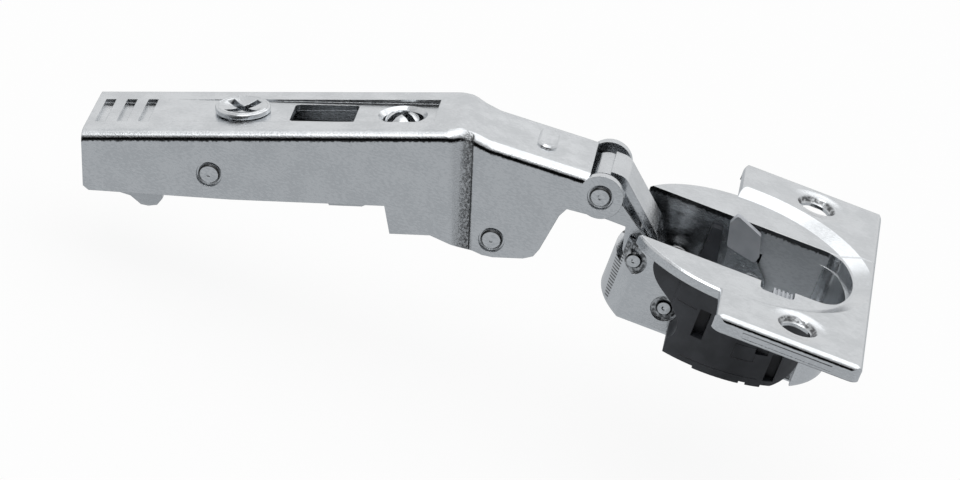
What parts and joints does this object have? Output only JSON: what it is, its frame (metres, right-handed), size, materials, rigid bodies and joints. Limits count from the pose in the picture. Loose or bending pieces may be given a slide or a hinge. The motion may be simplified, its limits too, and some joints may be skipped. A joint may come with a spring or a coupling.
{
  "type": "concealed cabinet hinge",
  "caption": "Concealed clip-on cabinet hinge, open to 110 degrees: screw-on cup with built-in soft-close dampers, a four-bar linkage and a cranked arm with adjusting screws.",
  "frame": {"origin": "centre of the cup on the door face, with the hinge fully open", "axes": "+Z out of the mouth of the cup, away from the door; -X along the arm; Y along the line of the screw holes"},
  "size_m": [0.1156, 0.0574, 0.0306],
  "materials": {
    "plated_steel": "bright nickel plate, satin faces and polished bends",
    "inner_steel": "nickel-plated pressed sheet",
    "rivet_steel": "bright peened ends",
    "screw_steel": "nickel plate, satin",
    "spring_wire": "drawn wire",
    "dark_plastic": "fine moulded grain",
    "damper_plastic": "smooth",
    "damper_rod_steel": "polished",
    "grey_plastic": "fine moulded grain"
  },
  "bodies": {
    "cup_body": {"cup": "plated_steel", "inner_link_pin": "rivet_steel", "outer_link_pin": "rivet_steel", "front_damper_housing": "dark_plastic", "rear_damper_housing": "dark_plastic", "front_damper_cylinder": "damper_plastic", "rear_damper_cylinder": "damper_plastic", "front_lever_stub": "rivet_steel", "rear_lever_stub": "rivet_steel", "lever_guide": "dark_plastic", "closing_springs": "spring_wire"},
    "outer_link_body": {"outer_link": "plated_steel"},
    "inner_link_body": {"inner_link": "plated_steel", "inner_link_axle": "rivet_steel"},
    "arm_body": {"arm": "plated_steel", "outer_link_rivet": "rivet_steel", "inner_link_rivet_heads": "rivet_steel", "rear_rivet": "rivet_steel", "latch_spring": "spring_wire"},
    "carrier_body": {"clip_carrier": "inner_steel"},
    "latch_body": {"clip_latch": "inner_steel"},
    "depth_cam": {"depth_cam_screw": "screw_steel"},
    "side_screw": {"side_adjust_screw": "screw_steel"},
    "front_lever": {"front_damper_lever": "inner_steel"},
    "rear_lever": {"rear_damper_lever": "inner_steel", "lever_shoe": "grey_plastic"},
    "front_rod": {"front_damper_rod": "damper_rod_steel"},
    "rear_rod": {"rear_damper_rod": "damper_rod_steel"},
    "switch": {"damper_switch": "grey_plastic"}
  },
  "joints": [
    {"name": "outer_link_hinge", "type": "hinge", "parent": "cup_body", "child": "outer_link_body", "pos_m": [-0.00808, 0, -0.0077], "axis": [0, 1, 0], "range_deg": [0, 138.57]},
    {"name": "arm_hinge", "type": "hinge", "parent": "outer_link_body", "child": "arm_body", "pos_m": [-0.0224, 0, 0.00375], "axis": [0, 1, 0], "range_deg": [-28.58, 0]},
    {"name": "inner_link_hinge", "type": "hinge", "parent": "cup_body", "child": "inner_link_body", "pos_m": [-0.0147, 0, -0.00247], "axis": [0, 1, 0], "range_deg": [0, 163.92]},
    {"name": "carrier_tilt", "type": "hinge", "parent": "arm_body", "child": "carrier_body", "pos_m": [-0.0762, 0, -0.01401], "axis": [0, 1, 0], "range_deg": [-1.5, 1.5]},
    {"name": "latch_hinge", "type": "hinge", "parent": "carrier_body", "child": "latch_body", "pos_m": [-0.0762, 0, -0.01401], "axis": [0, 1, 0], "range_deg": [0, 6], "stiffness_Nm_per_rad": 0.05},
    {"name": "depth_cam_turn", "type": "hinge", "parent": "arm_body", "child": "depth_cam", "pos_m": [-0.07481, 0, -0.00701], "axis": [-0.342, 0, 0.9397], "range_deg": [-180, 180]},
    {"name": "side_screw_turn", "type": "hinge", "parent": "arm_body", "child": "side_screw", "pos_m": [-0.05248, 0, 0.00005], "axis": [-0.342, 0, 0.9397], "range_deg": [-325, 325]},
    {"name": "front_lever_hinge", "type": "hinge", "parent": "cup_body", "child": "front_lever", "pos_m": [0.0034, 0, -0.0076], "axis": [0, 1, 0], "range_deg": [0, 26]},
    {"name": "rear_lever_hinge", "type": "hinge", "parent": "cup_body", "child": "rear_lever", "pos_m": [0.0034, 0, -0.0076], "axis": [0, 1, 0], "range_deg": [0, 26]},
    {"name": "front_rod_slide", "type": "slide", "parent": "cup_body", "child": "front_rod", "axis": [1, 0, 0], "range_m": [0, 0.00145], "stiffness_N_per_m": 20},
    {"name": "rear_rod_slide", "type": "slide", "parent": "cup_body", "child": "rear_rod", "axis": [1, 0, 0], "range_m": [0, 0.00145], "stiffness_N_per_m": 20},
    {"name": "switch_slide", "type": "slide", "parent": "cup_body", "child": "switch", "axis": [-1, 0, 0], "range_m": [0, 0.0014]}
  ],
  "couplings": [
    {"joint": "arm_hinge", "follows": "outer_link_hinge", "ratio": -0.20618},
    {"joint": "inner_link_hinge", "follows": "outer_link_hinge", "ratio": 1.1828},
    {"joint": "side_screw_turn", "follows": "carrier_tilt", "ratio": 213.33},
    {"joint": "front_lever_hinge", "follows": "front_rod_slide", "rad_per_m": 300.92},
    {"joint": "rear_lever_hinge", "follows": "rear_rod_slide", "rad_per_m": 300.92}
  ]
}
